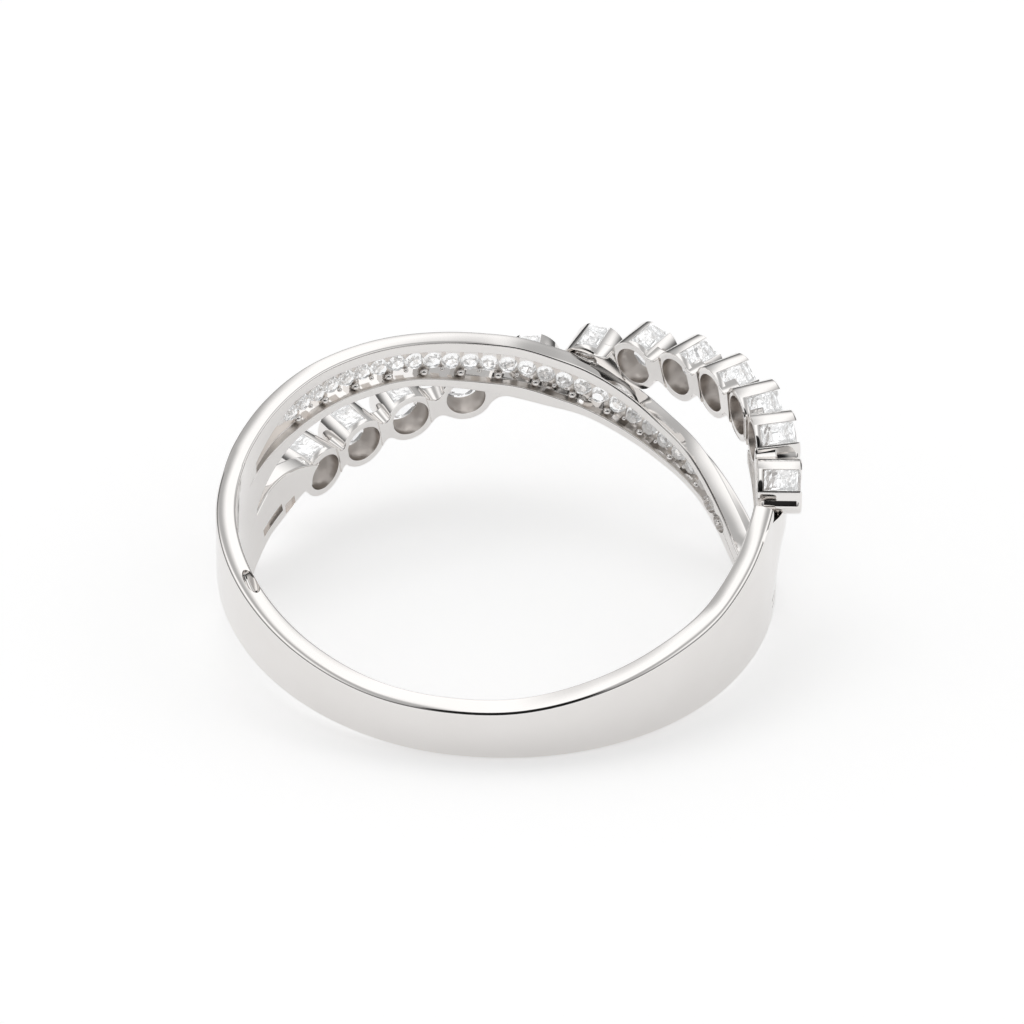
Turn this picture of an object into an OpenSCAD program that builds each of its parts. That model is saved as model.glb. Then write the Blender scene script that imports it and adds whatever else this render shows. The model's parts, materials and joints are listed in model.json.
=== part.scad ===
// Crossover ring: a plain band whose shoulders split into two strands that cross at the top.
// Strand A is a narrow rail with a row of small round stones and pierced windows.
// Strand B is a chain of twelve round cups, each with a large round stone, and passes over A.
// Ring frame: Z is the finger's axis, angle 0 is the back of the band at -Y, angles grow toward +X,
// heights are counted from the middle plane of the band's back.
// In "All" the whole ring is leaned the way it rests on a table, on its side.

/* [Finger hole and band] */
// Inside diameter, mm
bore_d = 17.7; // [15:0.1:22]
// Thickness of the band's wall, mm
wall = 0.7; // [0.55:0.01:1.1]
// Width of the plain band at the back, mm
band_w = 2.1; // [1.6:0.05:3]

/* [Head] */
// Width of the head along the finger, from the lowest edge to the highest, mm
head_w = 7.9; // [7.4:0.05:8.6]
// Height of a cup from its seat to the top of its bars, mm
cup_h = 1.5; // [1.35:0.05:1.7]
// How far strand B stands off the finger hole where it passes over strand A, mm
over = 0.86; // [0.82:0.01:1.2]
// Outside radius of a cup, as a share of the pitch of the cups
cup_share = 0.452; // [0.44:0.002:0.47]

/* [Stones] */
// Width of a large stone, as a share of its cup
large_share = 0.862; // [0.83:0.002:0.868]
// Width of a small stone, mm
small_d = 0.6; // [0.5:0.01:0.62]
// Gap between a stone and its seat, mm
gap = 0.03; // [0.02:0.005:0.05]

/* [Hidden] */
r_in = bore_d / 2;
r_out = r_in + wall;
r_cut = r_in - 0.3;
pct = head_w / 100;
far = 3 * bore_d;
shoulder_share = 0.133; // half the band's width, as a share of head_w
step = 4;
round_fn = 64;
small_fn = 32;

// Edges of the band and the strands. Columns: angle in degrees, height in hundredths of head_w.
// The band's own edges are in hundredths of half its width, as they follow band_w at the back.
band_top = [[-112, 205], [-102, 187], [-90, 186], [-79, 186], [-62, 163], [-45, 130], [-26, 101],
    [-10, 98], [5, 103], [23, 138], [39, 175], [51, 200], [58, 229], [65, 262], [73, 307], [80, 330]];
band_low = [[-112, -360], [-108, -357], [-105, -324], [-100, -257], [-95, -162], [-90, -98],
    [-80, -78], [-58, -81], [-35, -90], [-18, -97], [0, -100], [17, -110], [39, -128], [52, -138],
    [71, -148], [80, -148], [88, -152]];
a_top = [[64, -14], [77, -10.1], [85, -11.4], [90, -13.9], [95, -22.8], [100, -30.4], [108, -36.7],
    [113, -34.8], [116, -31], [121, -24], [127, -15.2], [133, -7.6], [141, -1.3], [149, 5.7],
    [159, 12.7], [167, 16.5], [175, 20.4], [182, 22.4], [191, 25.1], [204, 28.4], [214, 29.9],
    [224, 30.6], [238, 29], [248, 27], [260, 25]];
a_low = [[64, -18.5], [80, -19.6], [85, -20.2], [92, -24], [96, -34.2], [100, -40.5], [105, -45.6],
    [110, -47.5], [115, -45.6], [120, -39.9], [127, -32.1], [133, -27.8], [141, -23.7],
    [151, -18.2], [160, -13.5], [170, -11], [185, -4], [199, 2.8], [209, 4.2], [220, 4.4],
    [233, 1.3], [245, -8.2], [252, -19.9], [260, -26]];
// Root of strand B on the left, a leaf below strand A
leaf_top = [[224, -20], [229, -15.5], [234, -12.5], [238, -11.5], [242, -12], [246, -14.5], [250, -17],
    [254, -17], [258, -10]];
leaf_low = [[224, -29.5], [229, -32], [236, -36.7], [242, -39.2], [248, -44.3], [253, -47.6],
    [258, -44.3]];
// Root of strand B on the right, the wall that carries the first cups
root_top = [[70, 38.5], [74, 40.5], [78, 37.5], [84, 33], [92, 34], [100, 37], [106, 33]];
root_low = [[70, -12.6], [77, -10.7], [86, -10.1], [90, -7], [95, 2.5], [100, 16.4], [106, 25]];
// Cups of strand B. Columns: angle, height in hundredths of head_w, stand-off in hundredths of over,
// turn of the side windows from the upward direction
b_cups = [[89, 38, 0, 36], [100.9, 43, 0, 37], [111.9, 40.9, 0, 38], [124.7, 34.6, 9, 32],
    [137.1, 27.2, 24, 22], [149.6, 18.6, 54, 8], [161.3, 5.8, 86, -4], [173.3, -6.3, 100, -9],
    [186.3, -16.1, 90, -12], [198.5, -20.3, 60, -12], [210.3, -24.1, 30, -12], [221.6, -27.8, 11, -12]];
// Thickening of strand A's outer side on the right. Columns: angle, thickness in hundredths of wall
a_swell = [[92, -12], [98, 10], [106, 40], [115, 55], [124, 46], [134, 28], [142, 10], [150, -12]];

// Row of a table that holds an angle
function row(t, a, i = 0) = i >= len(t) - 2 || a < t[i + 1][0] ? i : row(t, a, i + 1);
function lean_of(t, i, c) =
    let (lo = max(i - 1, 0), hi = min(i + 1, len(t) - 1)) (t[hi][c] - t[lo][c]) / (t[hi][0] - t[lo][0]);
// Smooth value of column c at angle a, a cubic between the rows
function at(t, a, c = 1) =
    let (i = row(t, a), w = t[i + 1][0] - t[i][0], s = min(max((a - t[i][0]) / w, 0), 1))
    (2 * s^3 - 3 * s^2 + 1) * t[i][c] + (s^3 - 2 * s^2 + s) * w * lean_of(t, i, c)
    + (3 * s^2 - 2 * s^3) * t[i + 1][c] + (s^3 - s^2) * w * lean_of(t, i + 1, c);
function point(a, r, h) = [r * sin(a), -r * cos(a), h];
// The band's edges follow its own width at the back and the head's width at the shoulders
function band_mix(a) = min(max((abs(a) - 40) / 35, 0), 1);
function band_edge(t, a) =
    let (share = at(t, a) / 100, mix = band_mix(a))
    share * (mix * head_w * shoulder_share + (1 - mix) * band_w / 2);

// Centres of the cups at the height of their base, their pitch, and the turn of a cup about its axis
cups = len(b_cups);
function cup_h_at(i) = b_cups[i][1] * pct;
function cup_off(i) = b_cups[i][2] * over / 100;
function b_point(i) = point(b_cups[i][0], r_in + cup_off(i) + cup_h / 4, cup_h_at(i));
function b_length(i) = i == 0 ? 0 : norm(b_point(i) - b_point(i - 1)) + b_length(i - 1);
pitch = b_length(cups - 1) / (cups - 1);
function cup_turn(i) =
    let (p = b_point(max(i - 1, 0)), q = b_point(min(i + 1, cups - 1)))
    atan2(q[2] - p[2], norm([q[0] - p[0], q[1] - p[1]]));
// Lean of a cup along the path, as the path climbs away from the finger hole
function cup_lean(i) =
    let (j = max(i - 1, 0), k = min(i + 1, cups - 1))
    atan2(cup_off(k) - cup_off(j), norm(b_point(k) - b_point(j)));
cup_r = pitch * cup_share;
large_d = 2 * cup_r * large_share;
hole_r = cup_r * 0.72;
base_h = cup_h * 0.5;

// Row of small stones in strand A
small_from = 120;
small_to = 231;
small_n = 28;
small_pitch = (small_to - small_from) / (small_n - 1);
function small_angle(i) = small_from + i * small_pitch;
function a_width(a) = (at(a_top, a) - at(a_low, a)) * pct;
function small_h(a) = at(a_top, a) * pct - max(0.52 * min(a_width(a), 2.1), 0.22 + small_d / 2 + gap);
seat_floor = r_in + 0.42 * wall;

// How the ring rests: on the lowest points of the two roots and of the back of the band.
// lowest_r and lowest_l are the angles of those points on the roots, and sink is how far the leaf's
// curved end reaches below the point that stands for it
lowest_r = 109;
lowest_l = 253;
drop_r = at(a_low, lowest_r) * pct;
drop_l = at(leaf_low, lowest_l) * pct;
drop_0 = -band_w / 2;
rest_y = -r_out * (cos(lowest_r) + cos(lowest_l)) / 2;
lean = atan2(drop_0 - (drop_r + drop_l) / 2, r_out + rest_y);
sink = 0.05;
lift = sink - (drop_0 * cos(lean) - r_out * sin(lean));
mid_x = (cup_h - wall) / 2;
mid_y = (r_in + over + cup_h - r_out) / 2;

// Puts a shape on the ring: its X along the ring, its Y along the finger, its Z outward
module place(a, r, h, turn = 0) {
    rotate([0, 0, a]) translate([0, -r, h]) rotate([90, 0, 0]) rotate([0, 0, turn]) children();
}

// The ring as it rests
module resting() {
    translate([-mid_x, -mid_y, lift]) rotate([lean, 0, 0]) children();
}

// Closed strip from rows of sections; every row holds the same number of points
module strip(rows) {
    n = len(rows[0]);
    m = len(rows);
    polyhedron(
        points = [for (s = rows) for (p = s) p],
        faces = concat(
            [[for (j = [n - 1:-1:0]) j]],
            [for (i = [0:m - 2]) for (j = [0:n - 1]) each [
                [i * n + j, i * n + (j + 1) % n, i * n + n + j],
                [i * n + (j + 1) % n, i * n + n + (j + 1) % n, i * n + n + j]]],
            [[for (j = [0:n - 1]) (m - 1) * n + j]]
        ),
        convexity = 6
    );
}

// Upright curtain between two edges, wider than the wall both ways
module curtain(low, top, a0, a1, reach) {
    k = ceil((a1 - a0) / step);
    strip([for (i = [0:k]) let (a = a0 + (a1 - a0) * i / k) [
        point(a, r_cut - reach, low[i]), point(a, r_out + reach, low[i]),
        point(a, r_out + reach, top[i]), point(a, r_cut - reach, top[i])]]);
}

function edge_list(t, a0, a1) =
    let (k = ceil((a1 - a0) / step)) [for (i = [0:k]) at(t, a0 + (a1 - a0) * i / k) * pct];
function band_list(t, a0, a1) =
    let (k = ceil((a1 - a0) / step)) [for (i = [0:k]) band_edge(t, a0 + (a1 - a0) * i / k)];

module shell(inner, outer, tall) {
    difference() {
        cylinder(r = outer, h = 2 * tall, center = true, $fn = 180);
        cylinder(r = inner, h = 3 * tall, center = true, $fn = 180);
    }
}

// The band, strand A and the two roots, all cut from one round wall
module band_wall() {
    intersection() {
        shell(r_in, r_out, head_w);
        union() {
            curtain(band_list(band_low, -108, 76), band_list(band_top, -108, 76), -108, 76, 1);
            curtain(edge_list(a_low, 70, 258), edge_list(a_top, 70, 258), 70, 258, 1.1);
            curtain(edge_list(leaf_low, 224, 256), edge_list(leaf_top, 224, 256), 224, 256, 1.2);
            curtain(edge_list(root_low, 70, 106), edge_list(root_top, 70, 106), 70, 106, 0.9);
        }
    }
}

// Strand A is thicker on the right, with a slanting outer face below its upper edge
module swell() {
    a0 = 94;
    a1 = 150;
    k = ceil(2 * (a1 - a0) / step);
    strip([for (i = [0:k])
        let (a = a0 + (a1 - a0) * i / k, r = r_out + at(a_swell, a) * wall / 100,
             t = at(a_top, a) * pct - 0.03, b = at(a_low, a) * pct + 0.03, s = 0.3 * (t - b))
        [point(a, r_in + wall / 2, b), point(a, max(r - s, r_out - 0.2), b), point(a, r, b + s / 2),
         point(a, r, t - s), point(a, min(r, r_out) - 0.04, t), point(a, r_in + wall / 2, t)]]);
}

// Flared wall below the first cups on the right
module flare() {
    a0 = 76;
    a1 = 100;
    k = ceil((a1 - a0) / step);
    strip([for (i = [0:k])
        let (a = a0 + (a1 - a0) * i / k,
             f = pow(sin(min(6.4 * (a - a0), 90)), 2) * (1 - 0.05 * max(a - 92, 0)),
             b = max(at(root_low, a) * pct, -0.2) + 0.05, t = at(root_top, a) * pct - 0.12)
        [point(a, r_in + wall / 2, b), point(a, r_out - 0.05, b),
         point(a, r_out + f * 0.22 * wall, b + 0.25 * (t - b)),
         point(a, r_out + f * 0.42 * wall, b + 0.45 * (t - b)),
         point(a, r_out + f * 0.86 * wall, b + 0.66 * (t - b)),
         point(a, r_out + f * 0.9 * wall, t), point(a, r_in + wall / 2, t)]]);
}

module cup_outside(off) {
    bevel = 0.1 * cup_r;
    below = off > 0.12 ? 0 : 0.1;
    translate([0, 0, -below]) cylinder(r = cup_r, h = cup_h - bevel + below, $fn = round_fn);
    translate([0, 0, cup_h - bevel]) cylinder(r1 = cup_r, r2 = cup_r - bevel, h = bevel, $fn = round_fn);
}

// Hole for the finger side of a stone, seat for the stone, and the two side windows
module cup_inside() {
    translate([0, 0, -0.12]) cylinder(r = hole_r, h = 1 + cup_h, $fn = round_fn);
    translate([0, 0, cup_h * 0.6]) cylinder(r = large_d / 2 + gap, h = cup_h, $fn = round_fn);
    half = 0.4 * cup_r;
    reach = 1.12 * cup_r;
    translate([-half, 0, 0.12 * cup_h]) cube([2 * half, reach, cup_h]);
    translate([-half, -reach, base_h]) cube([2 * half, reach, cup_h]);
}

module at_cup(i) {
    place(b_cups[i][0], r_in + cup_off(i), cup_h_at(i))
        rotate([0, -cup_lean(i), 0]) rotate([0, 0, b_cups[i][3]]) children();
}

// Web between a cup and the next one, low on their sides
module web(i) {
    p = b_cups[i];
    q = b_cups[i + 1];
    wide = 0.9 * cup_r;
    long = 0.5 * cup_r;
    off = (cup_off(i) + cup_off(i + 1)) / 2;
    place((p[0] + q[0]) / 2, r_in + off, (p[1] + q[1]) / 2 * pct, (cup_turn(i) + cup_turn(i + 1)) / 2)
        translate([-long / 2, -wide / 2, -0.05]) cube([long, wide, base_h]);
}

// Short solder feet that join strand B to the rails of strand A
module foot(i, h) {
    wide = 0.8;
    tall = 0.3;
    place(b_cups[i][0], r_out - wall / 4, h)
        translate([-wide / 2, -tall / 2, 0]) cube([wide, tall, wall / 4 + cup_off(i) - wall + 0.3]);
}
module feet() {
    foot(6, at(a_top, b_cups[6][0]) * pct - 0.22);
    foot(7, at(a_low, b_cups[7][0]) * pct + 0.17);
    foot(8, at(a_low, b_cups[8][0]) * pct + 0.13);
}

// Groove along the inner side of strand A, between its rails
module channel() {
    a0 = 118;
    a1 = 242;
    k = ceil((a1 - a0) / step);
    strip([for (i = [0:k])
        let (a = a0 + (a1 - a0) * i / k, w = min(a_width(a), 2.2),
             e = sin(min(720 * i / k, 90)) * sin(min(720 * (k - i) / k, 90)),
             m = small_h(a), u = m + (0.3 * w - 0.05) * e + 0.05, d = m - (0.32 * w - 0.05) * e - 0.05)
        [point(a, r_cut, d), point(a, seat_floor, d), point(a, seat_floor, u), point(a, r_cut, u)]]);
}

module small_seats() {
    for (i = [0:small_n - 1]) let (a = small_angle(i)) place(a, r_in, small_h(a)) {
        translate([0, 0, -0.2]) cylinder(r = small_d / 2 - 0.03, h = wall + 0.3, $fn = small_fn);
        translate([0, 0, wall * 0.62]) cylinder(r = small_d / 2 + gap, h = wall, $fn = small_fn);
    }
}

// Pierced windows along the lower rail of strand A, one to every second stone
module windows() {
    for (i = [1:2:small_n - 2])
        let (a = small_angle(i) + small_pitch / 2, w = a_width(a), high = 0.12 * min(w, 2.1),
             slope = atan2((at(a_low, a + 2) - at(a_low, a - 2)) * pct, 4 * PI / 180 * r_in))
        if (w > 1.5)
            place(a, r_in, small_h(a) - small_d / 2 - high / 2 - 0.06, slope)
                translate([-0.46, -high / 2, 0.15]) cube([0.92, high, a < 152 ? wall + 2 : wall + 0.35]);
}

// Openings of the root of strand B on the left: a long one and a short one, with a rung between.
// Columns: angle, height in hundredths of head_w, length, width, turn
leaf_cuts = [[240.7, -30, 1.3, 0.36, -12], [233.6, -31, 0.55, 0.42, -8]];
module leaf_windows() {
    for (s = leaf_cuts)
        place(s[0], r_in, s[1] * pct, s[4])
            translate([-s[2] / 2, -s[3] / 2, -0.5]) cube([s[2], s[3], wall + 1]);
}

// Small scoop in the upper rim of the band on the left
module scoop() {
    a = -66;
    tilt = 28;
    scoop_r = 0.42;
    deep = 1.4;
    place(a, r_in, band_edge(band_top, a) + 0.08) rotate([-tilt, 0, 0])
        translate([0, 0, -1]) cylinder(r = scoop_r, h = deep, $fn = small_fn);
}

module metal_ring() {
    difference() {
        union() {
            band_wall();
            swell();
            flare();
            feet();
            for (i = [0:cups - 1]) at_cup(i) cup_outside(cup_off(i));
            for (i = [0:cups - 2]) web(i);
        }
        cylinder(r = r_in, h = far, center = true, $fn = 180);
        for (i = [0:cups - 1]) at_cup(i) cup_inside();
        channel();
        small_seats();
        windows();
        leaf_windows();
        scoop();
    }
}

// Round cut stone with a table; d is its width, girdle in the plane z = 0
module brilliant(d, n) {
    r = d / 2;
    t = r * 0.56;
    u = r * 0.79;
    crown = d * 0.15;
    girdle = d * 0.03;
    keel = d * 0.43;
    h = n / 2;
    function rim(k, q, z, o = 0) =
        [for (i = [0:k - 1]) let (a = 360 * (i + o) / k) [q * cos(a), q * sin(a), z]];
    p = concat([[0, 0, -keel]], rim(n, r, 0), rim(n, r, girdle),
        rim(h, u, girdle + crown * 0.6, 0.5), rim(h, t, girdle + crown));
    g0 = 1;
    g1 = 1 + n;
    m0 = 1 + 2 * n;
    t0 = m0 + h;
    polyhedron(points = p, faces = concat(
        [for (i = [0:n - 1]) [0, g0 + i, g0 + (i + 1) % n]],
        [for (i = [0:n - 1]) let (j = (i + 1) % n) each [[g0 + i, g1 + i, g1 + j], [g0 + i, g1 + j, g0 + j]]],
        [for (i = [0:h - 1]) each [
            [g1 + 2 * i, m0 + i, g1 + 2 * i + 1],
            [g1 + 2 * i + 1, m0 + i, g1 + (2 * i + 2) % n],
            [g1 + 2 * i, t0 + i, m0 + i],
            [g1 + (2 * i + 2) % n, m0 + i, t0 + (i + 1) % h],
            [m0 + i, t0 + i, t0 + (i + 1) % h]]],
        [[for (i = [h - 1:-1:0]) t0 + i]]
    ), convexity = 2);
}

module large_stone(i) {
    at_cup(i) translate([0, 0, cup_h * 0.78]) brilliant(large_d, 16);
}

module metal() {
    color("silver") resting() metal_ring();
}
module small_stones() {
    color("white") resting() for (i = [0:small_n - 1]) let (a = small_angle(i))
        place(a, r_out - 0.13, small_h(a)) brilliant(small_d, 8);
}
module large_stone_1() { color("white") resting() large_stone(0); }
module large_stone_2() { color("white") resting() large_stone(1); }
module large_stone_3() { color("white") resting() large_stone(2); }
module large_stone_4() { color("white") resting() large_stone(3); }
module large_stone_5() { color("white") resting() large_stone(4); }
module large_stone_6() { color("white") resting() large_stone(5); }
module large_stone_7() { color("white") resting() large_stone(6); }
module large_stone_8() { color("white") resting() large_stone(7); }
module large_stone_9() { color("white") resting() large_stone(8); }
module large_stone_10() { color("white") resting() large_stone(9); }
module large_stone_11() { color("white") resting() large_stone(10); }
module large_stone_12() { color("white") resting() large_stone(11); }

metal();
small_stones();
large_stone_1();
large_stone_2();
large_stone_3();
large_stone_4();
large_stone_5();
large_stone_6();
large_stone_7();
large_stone_8();
large_stone_9();
large_stone_10();
large_stone_11();
large_stone_12();
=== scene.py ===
import json
import math

import bpy
import numpy as np
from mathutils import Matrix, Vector

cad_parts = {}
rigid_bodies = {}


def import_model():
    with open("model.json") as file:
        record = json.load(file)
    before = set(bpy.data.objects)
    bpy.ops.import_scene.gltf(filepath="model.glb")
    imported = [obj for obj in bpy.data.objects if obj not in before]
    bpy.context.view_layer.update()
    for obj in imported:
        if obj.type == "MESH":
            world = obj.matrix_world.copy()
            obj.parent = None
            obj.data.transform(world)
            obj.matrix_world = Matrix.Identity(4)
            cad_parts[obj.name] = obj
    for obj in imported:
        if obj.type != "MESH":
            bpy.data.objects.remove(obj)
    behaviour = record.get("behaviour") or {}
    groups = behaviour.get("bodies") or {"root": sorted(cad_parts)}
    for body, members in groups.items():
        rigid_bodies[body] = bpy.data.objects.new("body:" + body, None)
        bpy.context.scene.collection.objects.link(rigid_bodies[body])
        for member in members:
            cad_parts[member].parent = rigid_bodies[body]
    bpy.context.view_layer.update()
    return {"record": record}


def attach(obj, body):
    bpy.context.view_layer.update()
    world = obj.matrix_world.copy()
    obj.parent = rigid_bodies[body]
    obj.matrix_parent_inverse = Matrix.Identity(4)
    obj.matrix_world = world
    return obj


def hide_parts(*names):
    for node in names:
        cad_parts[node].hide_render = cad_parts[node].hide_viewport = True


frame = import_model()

bl_info = {
    "name": "Crossover ring",
    "version": (1, 0, 0),
    "blender": (4, 5, 0),
    "location": "View3D > Sidebar > Crossover ring",
    "description": "Builds the polished metal, the cut stones and the studio of a crossover ring",
    "category": "Object",
}

# The ring's own frame: Z is the finger's axis, angle 0 is the back of the band at -Y, angles grow toward +X,
# heights are counted from the middle plane of the band's back. Sizes below are in millimetres and degrees.
# The ring rests on its side: it is leaned about X, then set down with its box centred on the origin.
REST_LEAN = 12.2014
REST_MOVE = (-0.4, -0.83, 3.09467)

# Thickness of the wall, half the width of the band's back, and the share of the head's width that takes its
# place near the head
WALL = 0.7
BACK_HALF = 1.05
HEAD_SHARE = 0.133

# A rim runs flat as far as RIM_FLAT from the inner face, rolls off to RIM_TILT and ends in an arc of radius
# RIM_EDGE, on the band BAND_RIM_EDGE, to the outer face. RIM_INNER is its arc's radius at the inner face.
RIM_FLAT = 0.26
RIM_TILT = 15.0
RIM_EDGE = 0.09
BAND_RIM_EDGE = 0.2
RIM_INNER = 0.09

# The ends of the band and of the narrow strand taper into the metal around them, from their tips' angles on:
# each face moves in by TIP_THIN and the rim drops by TIP_DROP. The strand and the roots also lie a hair
# inside the band's two faces, so that no two faces coincide.
BAND_FROM, BAND_TO, BAND_TIP = -112, 79, -103
STRAND_FROM, STRAND_TO, STRAND_TIP = 66, 259, 252
TIP_THIN = 0.02
TIP_DROP = 0.06
STRAND_INSET = 0.004
ROOT_INSET = 0.008

# Scoop in the band's rim: angle, and its three half-sizes along the ring, along the finger and outward
SCOOP_AT = -66
SCOOP = (0.58, 0.36, 0.22)

# Groove of the narrow strand: from GROOVE_FROM on it opens over GROOVE_OPENS degrees, and before GROOVE_TO
# it narrows over GROOVE_NARROWS and gets shallow over GROOVE_SHALLOWS. It is a share of the strand's width,
# which counts as GROOVE_WIDE at most.
GROOVE_FROM, GROOVE_TO = 118, 257
GROOVE_OPENS, GROOVE_NARROWS, GROOVE_SHALLOWS = 16, 26, 22
GROOVE_WIDE = 2.2

# Small stones: first and last angle, number, radius of their seats, least distance below the strand's top.
# Up to THROUGH_FROM the seats and the windows below them are only BLIND deep, short of the outer face, and
# after it they go through the wall. The strand's width counts as STRAND_WIDE at most, and WINDOW_HALF is
# half the length of a window.
SMALL_FROM, SMALL_TO, SMALL_N = 120.0, 231.0, 28
SMALL_PITCH = (SMALL_TO - SMALL_FROM) / (SMALL_N - 1)
SMALL_SEAT = 0.345
SMALL_BELOW = 0.55
THROUGH_FROM = 151
BLIND = 0.62
STRAND_WIDE = 2.1
WINDOW_HALF = 0.46

# Cups: outer radius of the solids, how far the dressed cup lies inside it, height, stand-off where they pass
# over the narrow strand, radius of the hole, and radius and height of the stone's seat
CUP_R = 0.9523
CUP_INSET = 0.012
CUP_H = 1.5
OVER = 0.86
CUP_HOLE = 0.72 * CUP_R
CUP_SEAT = 0.85
CUP_FLOOR = 0.9

# Edges: angle, height in hundredths of the head's width. The band's own are in hundredths of half its width.
BAND_TOP = [(-112, 205), (-102, 187), (-90, 186), (-79, 186), (-62, 163), (-45, 130), (-26, 101), (-10, 98),
            (5, 103), (23, 138), (39, 175), (51, 200), (58, 229), (65, 262), (73, 307), (80, 330)]
BAND_LOW = [(-112, -327), (-108, -346), (-105, -324), (-100, -257), (-95, -162), (-90, -98), (-80, -78),
            (-58, -81), (-35, -90), (-18, -97), (0, -100), (17, -110), (39, -128), (52, -138), (71, -148),
            (80, -148), (88, -152)]
STRAND_TOP = [(64, -14), (77, -10.1), (85, -11.4), (90, -13.9), (95, -22.8), (100, -30.4), (108, -36.7),
              (113, -34.8), (116, -31), (121, -24), (127, -15.2), (133, -7.6), (141, -1.3), (149, 5.7),
              (159, 12.7), (167, 16.5), (175, 20.4), (182, 22.4), (191, 25.1), (204, 28.4), (214, 29.9),
              (224, 30.6), (238, 29), (248, 27), (260, 25)]
STRAND_LOW = [(64, -18.5), (80, -19.6), (85, -20.2), (92, -24), (96, -34.2), (100, -40.5), (105, -45.6),
              (110, -47.5), (115, -45.6), (120, -39.9), (127, -32.1), (133, -27.8), (141, -23.7),
              (151, -18.2), (160, -13.5), (170, -11), (185, -4), (199, 2.8), (209, 4.2), (220, 4.4),
              (233, 1.3), (245, -8.2), (252, -19.9), (260, -26)]
LEAF_TOP = [(224, -20), (229, -15.5), (234, -12.5), (238, -11.5), (242, -12), (246, -14.5), (250, -17),
            (254, -17), (258, -10)]
LEAF_LOW = [(224, -29.5), (229, -32), (236, -36.7), (242, -39.2), (248, -44.3), (253, -47), (258, -38.5)]
ROOT_TOP = [(70, 38.5), (74, 40.5), (78, 37.5), (84, 33), (92, 34), (100, 37), (106, 33)]
ROOT_LOW = [(70, -12.6), (77, -10.7), (86, -10.1), (90, -7), (95, 2.5), (100, 16.4), (106, 25)]

# Swell of the narrow strand's outer face: angle, hundredths of the wall; below nought it has none
STRAND_SWELL = [(92, -12), (98, 10), (106, 40), (115, 55), (124, 46), (134, 28), (142, 10), (150, -12)]

# The leaf's lower edge is lifted by LEAF_LIFT, so that it stays inside the solids' box. Its windows: angle,
# height in hundredths of the head's width, length, width, turn
LEAF_LIFT = 0.045
LEAF_WINDOWS = [(240.7, -30, 1.3, 0.36, -12), (233.6, -31, 0.55, 0.42, -8)]

# Cups: angle, height in hundredths of the head's width, stand-off in hundredths of OVER, turn of the windows
CUPS = [(89, 38, 0, 36), (100.9, 43, 0, 37), (111.9, 40.9, 0, 38), (124.7, 34.6, 9, 32),
        (137.1, 27.2, 24, 22), (149.6, 18.6, 54, 8), (161.3, 5.8, 86, -4), (173.3, -6.3, 100, -9),
        (186.3, -16.1, 90, -12), (198.5, -20.3, 60, -12), (210.3, -24.1, 30, -12), (221.6, -27.8, 11, -12)]

# Solder feet between the strands: cup, edge of the narrow strand under it, height above that edge
FEET = [(6, STRAND_TOP, -0.22), (7, STRAND_LOW, 0.17), (8, STRAND_LOW, 0.13)]

# Bead prongs, in turn: three half-sizes, distance from the inner face, distance below the row of stones
BEADS = [((0.15, 0.13, 0.12), 0.2, 0.43), ((0.09, 0.08, 0.1), 0.24, 0.31)]

# Camera: its rise in the ring's own frame, the height on the finger's axis that it looks at, its distance in
# metres, and its focal length and sideways shift in pixels of a picture FRAME_PX wide
CAMERA_RISE = 40.5
CAMERA_AIM = 1.70
CAMERA_FAR = 0.4
FRAME_PX = 1024
FOCAL_PX = 11768.7
SHIFT_PX = 15.5
SENSOR = 36
CAMERA_UP = math.radians(CAMERA_RISE - REST_LEAN)
TO_CAMERA = (0, -math.cos(CAMERA_UP), math.sin(CAMERA_UP))

# Studio: half the floor's side and the softbox's place, in metres, and the half-angles of the dark gap that
# the metal mirrors round the camera, where it begins and where it is darkest
FLOOR_HALF = 1.5
SOFTBOX_AT = (-0.1, 0.12, 0.6)
GAP_FROM, GAP_TO = 27, 21


class CrossoverRingSizes(bpy.types.PropertyGroup):
    """Sizes that a user would change."""

    bore: bpy.props.FloatProperty(
        name="Finger hole radius", description="Inside radius of the band", unit="LENGTH",
        subtype="DISTANCE", default=frame["record"]["mounts"][0]["dims"]["r_mm"] / 1000,
        min=0.0075, max=0.011, precision=5)
    head: bpy.props.FloatProperty(
        name="Head width", description="Width of the head along the finger", unit="LENGTH",
        subtype="DISTANCE", default=0.0079, min=0.0074, max=0.0086, precision=5)
    edge: bpy.props.FloatProperty(
        name="Edge rounding", description="Radius of the polished lower edges of the band", unit="LENGTH",
        subtype="DISTANCE", default=0.00014, min=0.00004, max=0.00025, precision=5)
    cup_edge: bpy.props.FloatProperty(
        name="Cup edge", description="Width of the bright bevel round the cups and their windows",
        unit="LENGTH", subtype="DISTANCE", default=0.00005, min=0.00001, max=0.00008, precision=6)
    small_stone: bpy.props.FloatProperty(
        name="Small stone", description="Width of a stone of the narrow strand", unit="LENGTH",
        subtype="DISTANCE", default=0.00067, min=0.0005, max=0.0007, precision=5)
    large_stone: bpy.props.FloatProperty(
        name="Large stone", description="Width of a stone in a cup", unit="LENGTH",
        subtype="DISTANCE", default=0.00164, min=0.0014, max=0.00168, precision=5)


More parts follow.
